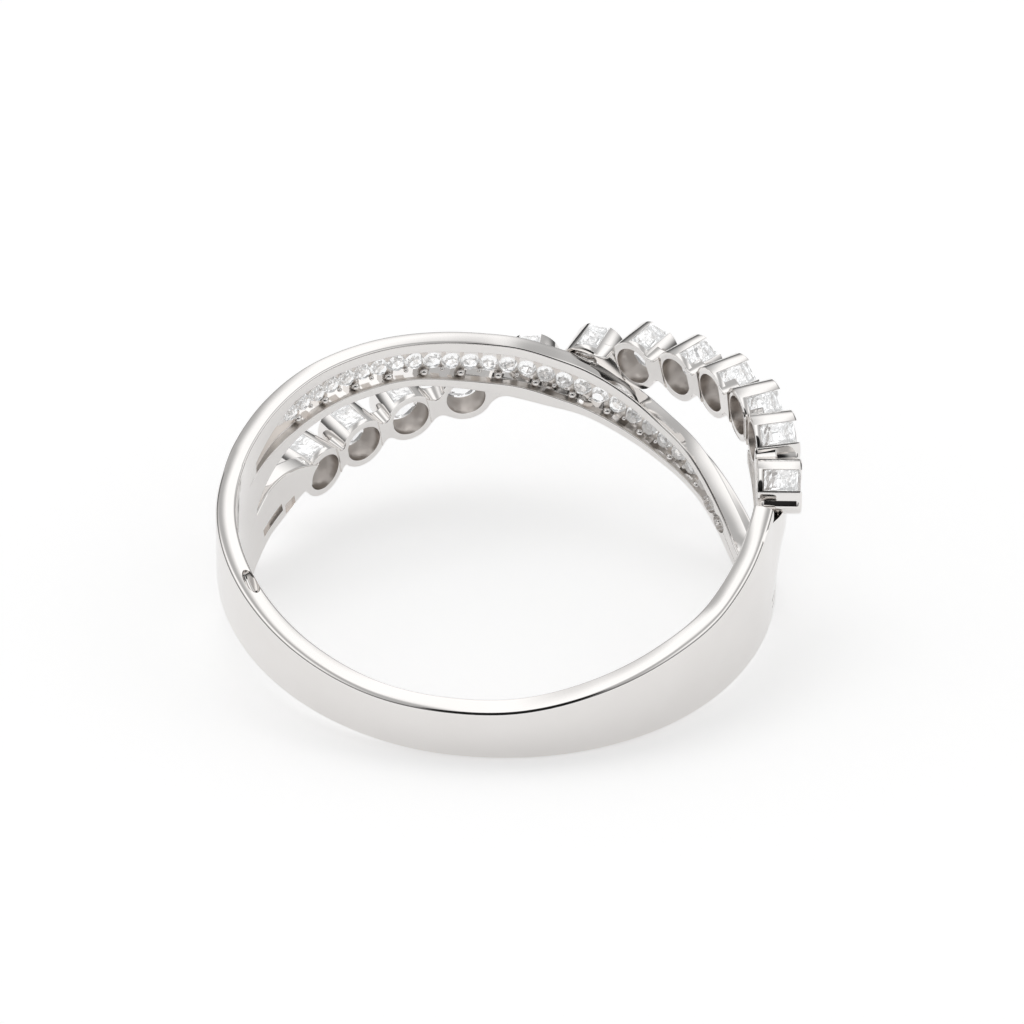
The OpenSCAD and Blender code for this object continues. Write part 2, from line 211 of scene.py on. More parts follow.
class CrossoverRingColours(bpy.types.PropertyGroup):
    """Colours and finishes that a user would change."""

    metal: bpy.props.FloatVectorProperty(
        name="Metal", description="Colour of the polished white metal", subtype="COLOR", size=3,
        default=(0.88, 0.86, 0.843), min=0, max=1)
    metal_shade: bpy.props.FloatVectorProperty(
        name="Metal shade", description="Colour of the metal where polish is thinner", subtype="COLOR",
        size=3, default=(0.83, 0.807, 0.788), min=0, max=1)
    polish: bpy.props.FloatProperty(
        name="Polish", description="Roughness of the polished metal", subtype="FACTOR",
        default=0.06, min=0, max=1)
    stone: bpy.props.FloatVectorProperty(
        name="Stone", description="Body colour of the clear stones", subtype="COLOR", size=3,
        default=(0.98, 0.985, 0.99), min=0, max=1)
    floor: bpy.props.FloatVectorProperty(
        name="Floor", description="Colour of the studio floor", subtype="COLOR", size=3,
        default=(0.8, 0.8, 0.8), min=0, max=1)
    light: bpy.props.FloatProperty(
        name="Light", description="Strength of the studio's light", default=1.0, min=0, max=5)


def sizes():
    """The user's sizes, in metres."""
    return bpy.context.scene.crossover_ring_sizes


def colours():
    """The user's colours and finishes."""
    return bpy.context.scene.crossover_ring_colours


def r_in():
    """Radius of the finger hole, in millimetres."""
    return sizes().bore * 1000


def at(table, angle):
    """Smooth height from a table: between two rows a cubic whose slope at a row is that of the line through
    its two neighbours."""
    x, y = np.asarray(table, float).T
    n = len(x)
    before, after = np.maximum(np.arange(n) - 1, 0), np.minimum(np.arange(n) + 1, n - 1)
    slope = (y[after] - y[before]) / (x[after] - x[before])
    i = np.clip(np.searchsorted(x, angle, "right") - 1, 0, n - 2)
    w = x[i + 1] - x[i]
    s = np.clip((angle - x[i]) / w, 0, 1)
    return ((2 * s**3 - 3 * s**2 + 1) * y[i] + (s**3 - 2 * s**2 + s) * w * slope[i]
            + (3 * s**2 - 2 * s**3) * y[i + 1] + (s**3 - s**2) * w * slope[i + 1])


def share(angle, start, stop):
    """How far an angle is on the way from start to stop, from 0 to 1."""
    return np.clip((angle - start) / (stop - start), 0, 1)


def high(table, angle):
    """Height of an edge of the head, in millimetres."""
    return at(table, angle) * sizes().head * 10


def band_high(table, angle):
    """Height of an edge of the band: a share of half its width, which is BACK_HALF up to 40 degrees from the
    back and HEAD_SHARE of the head's width from 75 degrees on."""
    mix = share(np.abs(angle), 40, 75)
    return at(table, angle) / 100 * (mix * HEAD_SHARE * sizes().head * 1000 + (1 - mix) * BACK_HALF)


def around(angle, r, h):
    """Points of the ring: angle in degrees from the back of the band, distance from the axis, height."""
    a = np.radians(angle)
    return np.stack(np.broadcast_arrays(r * np.sin(a), -r * np.cos(a), h), -1)


def turned(axis, degrees):
    """Turn about one axis, as a matrix: cosines on the diagonal and the sine, once negative, beside them."""
    c, s = math.cos(math.radians(degrees)), math.sin(math.radians(degrees))
    i = "XYZ".index(axis)
    j, k = (i + 1) % 3, (i + 2) % 3
    m = np.eye(4)
    m[j, j] = m[k, k] = c
    m[j, k] = -s
    m[k, j] = s
    return m


def shift(x, y, z):
    """Move along the three axes, as a matrix."""
    m = np.eye(4)
    m[:3, 3] = x, y, z
    return m


def spot(angle, r, h, twist=0):
    """Place on the ring, as a matrix: X runs along the ring, Y along the finger, Z outward."""
    return turned("Z", angle) @ shift(0, -r, h) @ turned("X", 90) @ turned("Z", twist)


def moved(shape, matrix):
    """The shape at a place. A shape is its points, its quads and its triangles."""
    v, q, t = shape
    return v @ matrix[:3, :3].T + matrix[:3, 3], q, t


def joined(shapes):
    """One shape from several, their faces renumbered."""
    points, quads, tris, n = [], [], [], 0
    for v, q, t in shapes:
        points.append(v)
        quads.append(q + n)
        tris.append(t + n)
        n += len(v)
    return np.concatenate(points), np.concatenate(quads), np.concatenate(tris)


def outward(shape):
    """The shape with its faces turned outward: the volume summed over its triangles is then positive."""
    v, q, t = shape
    tri = np.concatenate([q[:, [0, 1, 2]], q[:, [0, 2, 3]], t])
    a, b, c = v[tri[:, 0]], v[tri[:, 1]], v[tri[:, 2]]
    if np.einsum("ij,ij->i", a, np.cross(b, c)).sum() < 0:
        q, t = q[:, ::-1], t[:, ::-1]
    return v, q, t


def swept(sections):
    """Closed profile carried along a path: sections is rows x points x 3. Quads join each row to the next,
    and a fan of triangles round the middle of the first and last rows closes the ends."""
    m, n = sections.shape[:2]
    v = np.concatenate([sections.reshape(-1, 3), sections[:1].mean(1), sections[-1:].mean(1)])
    i, j = np.arange(m - 1)[:, None] * n, np.arange(n)[None]
    k = (j + 1) % n
    q = np.stack([i + j, i + k, i + n + k, i + n + j], -1).reshape(-1, 4)
    j, k = j[0], k[0]
    last = (m - 1) * n
    t = np.concatenate([np.stack([np.full(n, m * n), k, j], -1),
                        np.stack([np.full(n, m * n + 1), last + j, last + k], -1)])
    return outward((v, q, t))


def lathed(profile, n):
    """Closed profile of radius and height turned once round Z."""
    p = np.asarray(profile, float)
    a = np.linspace(0, 2 * np.pi, n, endpoint=False)[:, None]
    v = np.stack([p[:, 0] * np.cos(a), p[:, 0] * np.sin(a), np.broadcast_to(p[:, 1], (n, len(p)))], -1)
    i, j = np.arange(n)[:, None], np.arange(len(p))[None]
    i2, j2 = (i + 1) % n, (j + 1) % len(p)
    k = len(p)
    q = np.stack([i * k + j, i2 * k + j, i2 * k + j2, i * k + j2], -1).reshape(-1, 4)
    return outward((v.reshape(-1, 3), q, np.zeros((0, 3), int)))


def upright(outline, z0, z1):
    """Outline in the plane z = 0 carried straight along Z, from z0 to z1."""
    return swept(np.stack([outline + (0, 0, z0), outline + (0, 0, z1)]))


def rod(r, z0, z1, n):
    """Round rod: the point at angle a is (r cos a, r sin a), from z0 to z1."""
    a = np.linspace(0, 2 * np.pi, n, endpoint=False)
    return upright(np.stack([r * np.cos(a), r * np.sin(a), 0 * a], -1), z0, z1)


def block(x0, x1, y0, y1, z0, z1):
    """Block between six planes."""
    return upright(np.array([(x0, y0, 0), (x1, y0, 0), (x1, y1, 0), (x0, y1, 0)], float), z0, z1)


def bead(rx, ry, rz, n=12, m=8):
    """Egg-shaped bead: the point at latitude u, longitude v is rx cos u cos v, ry cos u sin v, rz sin u."""
    u = np.radians(np.linspace(-82, 82, m))[:, None]
    v = np.linspace(0, 2 * np.pi, n, endpoint=False)[None]
    z = np.broadcast_to(rz * np.sin(u), (m, n))
    return swept(np.stack([rx * np.cos(u) * np.cos(v), ry * np.cos(u) * np.sin(v), z], -1))


def rounded(corners, radii, k=4):
    """Profile with rounded corners. Each corner gives way to a curve of k points that leaves the two sides
    at the given distance and bends toward the corner. One more point on each side keeps the flats flat."""
    before, after = np.roll(corners, 1, 1) - corners, np.roll(corners, -1, 1) - corners
    long_before = np.linalg.norm(before, axis=-1, keepdims=True)
    long_after = np.linalg.norm(after, axis=-1, keepdims=True)
    r = np.asarray(radii, float)[None, :, None]
    r = np.minimum(np.minimum(r, 0.36 * long_before), 0.36 * long_after)
    back, ahead = before / np.maximum(long_before, 1e-9), after / np.maximum(long_after, 1e-9)
    a, b = corners + back * r, corners + ahead * r
    t = np.linspace(0, 1, k)[None, None, :, None]
    bend = (1 - t) ** 2 * a[:, :, None] + 2 * t * (1 - t) * corners[:, :, None] + t**2 * b[:, :, None]
    first, last = corners + back * r * 1.3, corners + ahead * r * 1.3
    return np.concatenate([first[:, :, None], bend, last[:, :, None]], 2).reshape(len(corners), -1, 2)


def rim(r0, r1, top, curve=RIM_EDGE):
    """Points of a rim from the outer face to the inner one: an arc of the given radius that turns from
    upright to RIM_TILT, a wide arc that turns on to level, a flat, and a small arc to the inner face."""
    t = np.radians(RIM_TILT)
    edge = np.radians(np.linspace(90, RIM_TILT, 9))
    roll = np.radians(np.linspace(RIM_TILT, 0, 7)[1:])
    back = np.radians(np.linspace(0, 90, 6))
    x1 = r1 - r0 - curve * (1 - np.sin(t))
    wide = (x1 - RIM_FLAT) / np.sin(t)
    drop = wide * (1 - np.cos(t))
    out = [(x1 + curve * (np.sin(b) - np.sin(t)), -drop - curve * (np.cos(t) - np.cos(b))) for b in edge]
    out += [(RIM_FLAT + wide * np.sin(b), -wide * (1 - np.cos(b))) for b in roll]
    out += [(RIM_INNER * (1 - np.sin(b)), -RIM_INNER * (1 - np.cos(b))) for b in back]
    return [(r0 + x, top + z) for x, z in out]


def wall_along(angles, corners, radii, k=4):
    """Piece of the round wall: at each angle a rounded profile of corners, each a distance and a height."""
    corners = [np.stack(np.broadcast_arrays(r, h + 0 * angles), -1) for r, h in corners]
    profile = rounded(np.stack(corners, 1), radii, k)
    return swept(around(angles[:, None], profile[..., 0], profile[..., 1]))


def steps(a0, a1, step):
    """Even angles from a0 to a1, at most a step apart."""
    return np.linspace(a0, a1, int(math.ceil(abs(a1 - a0) / step)) + 1)


def small_angles():
    """Angles of the small stones."""
    return np.linspace(SMALL_FROM, SMALL_TO, SMALL_N)


def small_high(angle):
    """Height of the row of small stones: just below the middle of the strand's upper STRAND_WIDE, and at
    least SMALL_BELOW under its top."""
    w = np.minimum(high(STRAND_TOP, angle) - high(STRAND_LOW, angle), STRAND_WIDE)
    return high(STRAND_TOP, angle) - np.maximum(0.52 * w, SMALL_BELOW)


def cup_spot(i):
    """Place of cup i: on the ring, leaned along the climb of its neighbours, turned to its windows."""
    c = np.array(CUPS, float)
    off = c[:, 2] / 100 * OVER
    mid = around(c[:, 0], r_in() + off + CUP_H / 4, c[:, 1] * sizes().head * 10)
    j, k = max(i - 1, 0), min(i + 1, len(c) - 1)
    lean = math.degrees(math.atan2(off[k] - off[j], np.linalg.norm(mid[k] - mid[j])))
    place = spot(c[i, 0], r_in() + off[i], c[i, 1] * sizes().head * 10)
    return place @ turned("Y", -lean) @ turned("Z", c[i, 3])


def brilliant(d, crown, keel, table, low):
    """Round cut of eight-fold symmetry with its girdle in the plane z = 0: table, star, kite and upper
    girdle facets above, mains and lower girdle facets below. The table and the feet of the lower girdle
    facets lie at the given shares of the radius."""
    r = d / 2
    girdle = 0.03 * d
    a8 = np.radians(np.arange(8) * 45.0)
    b8 = a8 + np.radians(22.5)
    g16 = np.radians(np.arange(16) * 22.5)

    def circle(a, q, z):
        return np.stack([q * np.cos(a), q * np.sin(a), np.full(len(a), z)], -1)

    v = np.concatenate([circle(a8, r * table, girdle + crown), circle(b8, r * 0.8, girdle + crown * 0.6),
                        circle(g16, r, girdle), circle(g16, r, 0), circle(b8, r * low, -keel * 0.86),
                        [[0, 0, -keel]], [[0, 0, girdle + crown]]])
    k = np.arange(8)
    n, p = (k + 1) % 8, (k - 1) % 8
    t0, s0, g0, h0, l0 = 0, 8, 16, 32, 48
    culet, middle = 56, 57
    g, gn = g0 + 2 * k, g0 + (2 * k + 2) % 16
    h, hn = h0 + 2 * k, h0 + (2 * k + 2) % 16
    quads = np.concatenate([
        np.stack([t0 + k, s0 + p, g, s0 + k], -1),
        np.stack([l0 + k, h, l0 + p, np.full(8, culet)], -1),
        np.stack([g0 + np.arange(16), h0 + np.arange(16), h0 + (np.arange(16) + 1) % 16,
                  g0 + (np.arange(16) + 1) % 16], -1)])
    tris = np.concatenate([
        np.stack([t0 + k, s0 + k, t0 + n], -1),
        np.stack([s0 + k, g, g + 1], -1), np.stack([s0 + k, g + 1, gn], -1),
        np.stack([l0 + k, h + 1, h], -1), np.stack([l0 + k, hn, h + 1], -1),
        np.stack([np.full(8, middle), t0 + k, t0 + n], -1)])
    return outward((v, quads, tris))


def side_facets():
    """Faceted flank of a large stone, which fills its cup's side window: a block whose outer and inner faces
    are grids of points. The middle is one long flat facet with a crease. Toward both ends the points are
    moved in and out by a fixed uneven pattern, which makes small crushed facets."""
    x, z = np.meshgrid([-0.35, -0.24, -0.06, 0.12, 0.26, 0.35],
                       [0.215, 0.3, 0.39, 0.48, 0.8, 1.06, 1.15, 1.25, 1.36])
    k = np.arange(x.size).reshape(x.shape)
    ends = np.clip(np.abs(z - 0.77) / 0.3 - 0.9, 0, 1)
    rough = (np.sin(k * 2.4) + np.cos(k * 5.1)) / 2
    edge = (np.abs(x) > 0.34) | (z < 0.22) | (z > 1.35)
    x2 = x + np.where(edge, 0, 0.03 * ends * np.sin(k * 3.3))
    z2 = z + np.where(edge, 0, 0.02 * ends * np.cos(k * 4.7))
    outer = np.stack([x2, np.where(edge, 0.87, 0.905 - 0.02 * np.abs(x) + 0.03 * rough * ends), z2], -1)
    inner = np.stack([x2, np.where(edge, 0.74, 0.70 - 0.02 * rough + 0.04 * np.abs(x)), z2], -1)
    m, n = x.shape
    v = np.concatenate([outer.reshape(-1, 3), inner.reshape(-1, 3)])
    i, j = np.arange(m - 1)[:, None] * n, np.arange(n - 1)[None]
    a = (i + j).ravel()
    front = np.concatenate([np.stack([a, a + 1, a + n + 1], -1), np.stack([a, a + n + 1, a + n], -1)])
    back = front[:, ::-1] + m * n
    loop = np.concatenate([np.arange(n - 1), np.arange(m - 1) * n + n - 1, m * n - 1 - np.arange(n - 1),
                           (m - 1 - np.arange(m - 1)) * n])
    after = np.roll(loop, -1)
    border = np.stack([loop, loop + m * n, after + m * n, after], -1)
    return outward((v, border, np.concatenate([front, back])))


def to_mesh(name, shape):
    """New object from a shape."""
    v, q, t = shape
    mesh = bpy.data.meshes.new(name)
    mesh.from_pydata(v.tolist(), [], q.tolist() + t.tolist())
    piece = bpy.data.objects.new(name, mesh)
    bpy.context.scene.collection.objects.link(piece)
    return piece


def baked(piece):
    """Applies the object's modifiers to its mesh."""
    graph = bpy.context.evaluated_depsgraph_get()
    mesh = bpy.data.meshes.new_from_object(piece.evaluated_get(graph))
    old = piece.data
    piece.modifiers.clear()
    piece.data = mesh
    bpy.data.meshes.remove(old)
    return piece


def carved(piece, cutter_shape):
    """Takes the cutter out of the object."""
    cutter = to_mesh("cutter", cutter_shape)
    mod = piece.modifiers.new("cut", "BOOLEAN")
    mod.operation, mod.solver, mod.object = "DIFFERENCE", "MANIFOLD", cutter
    baked(piece)
    bpy.data.objects.remove(cutter)
    return piece


def bevelled(piece, width, segments):
    """Rounds the object's sharp edges."""
    mod = piece.modifiers.new("edges", "BEVEL")
    mod.width, mod.segments = width, segments
    mod.limit_method, mod.angle_limit = "ANGLE", math.radians(32)
    mod.use_clamp_overlap = True
    mod.miter_outer = "MITER_ARC"
    return baked(piece)


def shape_of(piece):
    """The object's mesh as a shape, its faces cut into triangles."""
    mesh = piece.data
    mesh.calc_loop_triangles()
    v = np.zeros(len(mesh.vertices) * 3)
    mesh.vertices.foreach_get("co", v)
    t = np.zeros(len(mesh.loop_triangles) * 3, np.int32)
    mesh.loop_triangles.foreach_get("vertices", t)
    return v.reshape(-1, 3), np.zeros((0, 4), int), t.reshape(-1, 3).astype(int)


def second_finish(piece, inside):
    """Gives the second material to the faces whose centres and normals pass the test."""
    faces = piece.data.polygons
    centre, normal = np.zeros(len(faces) * 3), np.zeros(len(faces) * 3)
    faces.foreach_get("center", centre)
    faces.foreach_get("normal", normal)
    chosen = inside(centre.reshape(-1, 3), normal.reshape(-1, 3))
    faces.foreach_set("material_index", chosen.astype(np.int32))


def finished(piece, material, nodes, sharp=34, second=None):
    """Leans and sets down a piece made in the ring's frame, in metres, and joins it to the ring's body."""
    mesh = piece.data
    v = np.zeros(len(mesh.vertices) * 3)
    mesh.vertices.foreach_get("co", v)
    c, s = math.cos(math.radians(REST_LEAN)), math.sin(math.radians(REST_LEAN))
    x, y, z = v.reshape(-1, 3).T
    row = np.stack([x, y * c - z * s, y * s + z * c], -1) + REST_MOVE
    mesh.vertices.foreach_set("co", (row / 1000).ravel())
    mesh.update()
    if sharp:
        mesh.shade_smooth()
        mesh.set_sharp_from_angle(angle=math.radians(sharp))
    else:
        mesh.shade_flat()
    finish = np.zeros(len(mesh.polygons), np.int32)
    mesh.polygons.foreach_get("material_index", finish)
    mesh.materials.clear()
    mesh.materials.append(material)
    if second:
        mesh.materials.append(second)
        mesh.polygons.foreach_set("material_index", finish)
    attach(piece, "root")
    if nodes:
        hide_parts(*nodes)


def metal_piece(piece, sharp=34, second=None, nodes=("metal",)):
    """Finishes a piece of the polished metal."""
    finished(piece, polished_metal(), nodes, sharp, second)


def stone_piece(piece, node):
    """Finishes a stone, with flat facets."""
    finished(piece, stone_material(), [node], sharp=0)


def polish_group():
    """Shared effect: cloudy change of colour and gloss over a polished surface, and a very low ripple."""
    name = "Polish"
    if name in bpy.data.node_groups:
        return bpy.data.node_groups[name]
    group = bpy.data.node_groups.new(name, "ShaderNodeTree")
    colour, number = "NodeSocketColor", "NodeSocketFloat"
    for label, kind in (("Colour", colour), ("Shade", colour), ("Roughness", number), ("Cloud size", number),
                        ("Spread", number)):
        group.interface.new_socket(name=label, in_out="INPUT", socket_type=kind)
    for label, kind in (("Colour", colour), ("Roughness", number), ("Ripple", number)):
        group.interface.new_socket(name=label, in_out="OUTPUT", socket_type=kind)
    new, link = group.nodes.new, group.links.new
    given, result = new("NodeGroupInput"), new("NodeGroupOutput")
    place = new("ShaderNodeTexCoord")
    cloud, hair = new("ShaderNodeTexNoise"), new("ShaderNodeTexNoise")
    cloud.inputs["Detail"].default_value = 3
    hair.inputs["Scale"].default_value = 9000
    hair.inputs["Detail"].default_value = 2
    mix = new("ShaderNodeMix")
    mix.data_type = "RGBA"
    rough = new("ShaderNodeMapRange")
    more = new("ShaderNodeMath")
    more.operation = "ADD"
    link(place.outputs["Object"], cloud.inputs["Vector"])
    link(place.outputs["Object"], hair.inputs["Vector"])
    link(given.outputs["Cloud size"], cloud.inputs["Scale"])
    link(cloud.outputs["Fac"], mix.inputs["Factor"])
    link(given.outputs["Colour"], mix.inputs["A"])
    link(given.outputs["Shade"], mix.inputs["B"])
    link(given.outputs["Roughness"], more.inputs[0])
    link(given.outputs["Spread"], more.inputs[1])
    link(cloud.outputs["Fac"], rough.inputs["Value"])
    link(given.outputs["Roughness"], rough.inputs["To Min"])
    link(more.outputs[0], rough.inputs["To Max"])
    link(mix.outputs["Result"], result.inputs["Colour"])
    link(rough.outputs["Result"], result.inputs["Roughness"])
    link(hair.outputs["Fac"], result.inputs["Ripple"])
    return group


def polished(material, colour, shade, roughness, cloud_size, spread):
    """Puts the polish group into a material, with its own values, and returns its node."""
    node = material.node_tree.nodes.new("ShaderNodeGroup")
    node.node_tree = polish_group()
    node.inputs["Colour"].default_value = (*colour, 1)
    node.inputs["Shade"].default_value = (*shade, 1)
    node.inputs["Roughness"].default_value = roughness
    node.inputs["Cloud size"].default_value = cloud_size
    node.inputs["Spread"].default_value = spread
    surface = material.node_tree.nodes["Principled BSDF"]
    material.node_tree.links.new(node.outputs["Colour"], surface.inputs["Base Color"])
    material.node_tree.links.new(node.outputs["Roughness"], surface.inputs["Roughness"])
    return node


def metal_material(name, roughness, painted_dim=1.0, painted_tint=(1, 1, 1)):
    """White metal with a very low ripple, which a material for recessed metal can dim and tint as painted
    shade.
    """
    if name in bpy.data.materials:
        return bpy.data.materials[name]
    material = bpy.data.materials.new(name)
    material.use_nodes = True
    new, link = material.node_tree.nodes.new, material.node_tree.links.new
    surface = material.node_tree.nodes["Principled BSDF"]
    surface.inputs["Metallic"].default_value = 1.0
    # painted_dim and painted_tint darken and warm the colour as painted shade; at 1 they leave it unchanged
    colour = [c * painted_dim * k for c, k in zip(colours().metal, painted_tint)]
    shade = [c * painted_dim * k for c, k in zip(colours().metal_shade, painted_tint)]
    polish = polished(material, colour, shade, roughness, cloud_size=420, spread=0.05)
    bump = new("ShaderNodeBump")
    bump.inputs["Strength"].default_value = 0.04
    bump.inputs["Distance"].default_value = 0.00001
    link(polish.outputs["Ripple"], bump.inputs["Height"])
    link(bump.outputs["Normal"], surface.inputs["Normal"])
    return material


def polished_metal():
    """The metal of every face that the polishing wheel reaches."""
    return metal_material("Polished metal", colours().polish)


def satin_metal_with_painted_shade():
    """The metal of the narrow strand's seats and of the ledge below the row of stones: satin rough, and
    dimmed and warmed as painted shade.
    """
    # Roughness 0.26 is the satin finish; the 0.9 dimming and the warm tint are painted shade
    return metal_material("Satin metal", 0.26, 0.9, (0.97, 0.94, 0.91))


def recess_metal_with_painted_shade():
    """The metal in the cups' holes, which the wheel doesn't reach: rougher, and dimmed and tinted brown as
    painted shade inside the holes.
    """
    # Roughness 0.3 is the unpolished finish; the 0.69 dimming and the brown tint are painted shade
    return metal_material("Recess metal", 0.3, 0.69, (0.95, 0.9, 0.86))


def stone_material():
    """Clear cut stone: glass with a strong refraction and a little glow for the light caught inside."""
    name = "Clear stone"
    if name in bpy.data.materials:
        return bpy.data.materials[name]
    material = bpy.data.materials.new(name)
    material.use_nodes = True
    surface = material.node_tree.nodes["Principled BSDF"]
    surface.inputs["Transmission Weight"].default_value = 1.0
    surface.inputs["IOR"].default_value = 2.0
    surface.inputs["Emission Color"].default_value = (1, 1, 1, 1)
    surface.inputs["Emission Strength"].default_value = 0.08
    shade = [c * 0.97 for c in colours().stone]
    polished(material, colours().stone, shade, 0.0, cloud_size=2500, spread=0.02)
    return material


def band_wall():
    """The band: a profile with rounded lower edges and a rolled rim, carried round the back of the ring."""
    a = steps(BAND_FROM, BAND_TO, 1.2)
    tip = share(a, BAND_TIP, BAND_FROM)
    r0, r1 = r_in() + TIP_THIN * tip, r_in() + WALL - TIP_THIN * tip
    low, top = band_high(BAND_LOW, a), band_high(BAND_TOP, a)
    top = top - TIP_DROP * tip
    edge = sizes().edge * 1000
    k = 6
    box = [np.stack(p, -1) for p in ((r0, low), (r1, low), (r1, low + 1), (r0, low + 1))]
    lower_two = rounded(np.stack(box, 1), [edge, edge, 0, 0], k)[:, :2 * (k + 2)]
    upper = np.stack([np.stack(p, -1) for p in rim(r0, r1, top, BAND_RIM_EDGE)], 1)
    profile = np.concatenate([lower_two, upper], 1)
    return swept(around(a[:, None], profile[..., 0], profile[..., 1]))


def strand_wall():
    """The narrow strand: two rails with a groove between, carried along the head. The groove grows with the
    sine of the way from its start, and narrows evenly toward its end, where it also moves down."""
    a = steps(STRAND_FROM, STRAND_TO, 1.0)
    tip = share(a, STRAND_TIP, STRAND_TO)
    r0 = r_in() + STRAND_INSET + TIP_THIN * tip
    r1 = r_in() + WALL - STRAND_INSET - TIP_THIN * tip
    low, top = high(STRAND_LOW, a), high(STRAND_TOP, a) - TIP_DROP * tip
    width = np.minimum(top - low, GROOVE_WIDE)
    start = share(a, GROOVE_FROM, GROOVE_FROM + GROOVE_OPENS)
    stop = share(a, GROOVE_TO, GROOVE_TO - GROOVE_NARROWS)
    opening = np.sin(np.pi / 2 * start) * stop
    mid = small_high(a) - 0.15 * (1 - stop) * width
    half = (0.3 * width - 0.05) * opening
    up, down = mid + half + 0.03, mid - half - 0.03
    deepening = share(a, GROOVE_TO, GROOVE_TO - GROOVE_SHALLOWS)
    depth = 0.42 * WALL * np.clip(opening * 3, 0, 1) * deepening + 0.02
    swell = np.maximum(at(STRAND_SWELL, a), 0) / 100 * WALL
    slant = 0.3 * (top - low)
    corners = [(r0, low), (r1, low), (r1 + swell, low + slant * 0.5), (r1 + swell, top - slant),
               (r1, top - 0.32), *rim(r0, r1, top),
               (r0, up + 0.02), (r0 + depth, up), (r0 + depth, down), (r0, down - 0.02)]
    outer, groove = [0.09, 0.05, 0.08, 0.1, 0.06], [0.04, 0.03, 0.03, 0.04]
    on_rim = [0.0] * (len(corners) - len(outer) - len(groove))
    return wall_along(a, corners, outer + on_rim + groove, 5)


def strand_cuts():
    """Cutters for the narrow strand: a round seat for each small stone, and below every second gap between
    two stones a window along the strand, where the strand is wide enough."""
    cuts = []
    for b in small_angles():
        deep = WALL + 0.5 if b > THROUGH_FROM else BLIND
        cuts.append(moved(rod(SMALL_SEAT, -0.2, deep, 24), spot(b, r_in(), float(small_high(b)))))
    for b in small_angles()[1:-1:2] + SMALL_PITCH / 2:
        width = float(high(STRAND_TOP, b) - high(STRAND_LOW, b))
        if width < 1.5:
            continue
        tall = 0.15 * min(width, STRAND_WIDE)
        climb = float(high(STRAND_LOW, b + 2) - high(STRAND_LOW, b - 2))
        slope = math.degrees(math.atan2(climb, 4 * math.pi / 180 * r_in()))
        h = float(small_high(b)) - 0.3 - tall / 2
        deep = 2 * WALL if b > THROUGH_FROM else BLIND
        window = block(-WINDOW_HALF, WINDOW_HALF, -tall / 2, tall / 2, 0.15, deep)
        cuts.append(moved(window, spot(b, r_in(), h, slope)))
    return cuts


def in_strand_recess(centre, normal):
    """True for the faces of the stones' seats, and for the upward faces of the ledge below the row: these
    get the satin metal with its painted shade.
    """
    r = np.hypot(centre[:, 0], centre[:, 1])
    t = np.degrees(np.arctan2(centre[:, 0], -centre[:, 1])) % 360
    h = centre[:, 2]
    deep = (r > r_in() + 0.4 * WALL + 0.02) & (r < r_in() + WALL - 0.03) & (t > 119) & (t < 231)
    row = np.abs(h - small_high(t)) < SMALL_SEAT + 0.007
    ledge = (r > r_in() + 0.02) & (r < r_in() + 0.3) & (t > 119) & (t < 252) & (normal[:, 2] > 0.5)
    below = (h < small_high(t) - 0.3) & (h > high(STRAND_LOW, t) + 0.12)
    return (deep & row) | (ledge & below)


def left_root():
    """Leaf at the left end of the strand of cups, with its windows and the last cup's hole."""
    a = steps(222, 257, 1.0)
    r0, r1 = r_in() + ROOT_INSET, r_in() + WALL - ROOT_INSET
    low, top = high(LEAF_LOW, a) + LEAF_LIFT, high(LEAF_TOP, a)
    leaf = to_mesh("left_root", wall_along(a, [(r0, low), (r1, low), (r1, top), (r0, top)], [0.09] * 4))
    for b, h, long, tall, twist in LEAF_WINDOWS:
        window = block(-long / 2, long / 2, -tall / 2, tall / 2, -0.5, WALL + 0.5)
        carved(leaf, moved(window, spot(b, r_in(), h * sizes().head * 10, twist)))
    return carved(leaf, moved(rod(CUP_HOLE, -0.5, 1.3, 64), cup_spot(len(CUPS) - 1)))


def right_root():
    """Flared wall at the right end of the strand of cups: it swells outward by shares of the flare, which
    grows with a squared sine over 14 degrees and shrinks a little after 92."""
    a = steps(71, 105, 1.0)
    r0, r1 = r_in() + ROOT_INSET, r_in() + WALL - ROOT_INSET
    low, top = high(ROOT_LOW, a), high(ROOT_TOP, a) - 0.05
    tall = top - low
    grown = np.sin(np.radians(np.clip(6.4 * (a - 76), 0, 90))) ** 2
    flare = grown * (1 - 0.05 * np.maximum(a - 92, 0)) * WALL
    corners = [(r0, low), (r1, low), (r1 + 0.14 * flare, low + 0.25 * tall),
               (r1 + 0.26 * flare, low + 0.45 * tall), (r1 + 0.46 * flare, low + 0.66 * tall),
               (r1 + 0.5 * flare, top), (r1 + 0.1 * flare, top - 0.4 * flare), (r0, top - 0.4 * flare)]
    return to_mesh("right_root", wall_along(a, corners, [0.09, 0.09, 0.2, 0.2, 0.2, 0.07, 0.05, 0.05]))


def one_cup():
    """Shape of a cup with its seat and its two side windows, and a flag for each face inside its hole."""
    half, wall = 0.4 * CUP_R, CUP_R - CUP_INSET
    cup = to_mesh("cup", lathed([(CUP_HOLE, 0), (wall, 0), (wall, CUP_H - 0.06), (wall - 0.06, CUP_H),
                                 (CUP_SEAT, CUP_H), (CUP_SEAT, CUP_FLOOR), (CUP_HOLE, CUP_FLOOR)], 72))
    carved(cup, block(-half, half, 0, 2, 0.12 * CUP_H, 2))
    carved(cup, block(-half, half, -2, 0, 0.62 * CUP_H, 2))
    bevelled(cup, sizes().cup_edge * 1000, 2)
    shape = shape_of(cup)
    bpy.data.objects.remove(cup)
    mid = shape[0][shape[2]].mean(1)
    r, h = np.hypot(mid[:, 0], mid[:, 1]), mid[:, 2]
    return shape, (r < CUP_HOLE + 0.005) & (h > 0.05) & (h < CUP_FLOOR + 0.05)


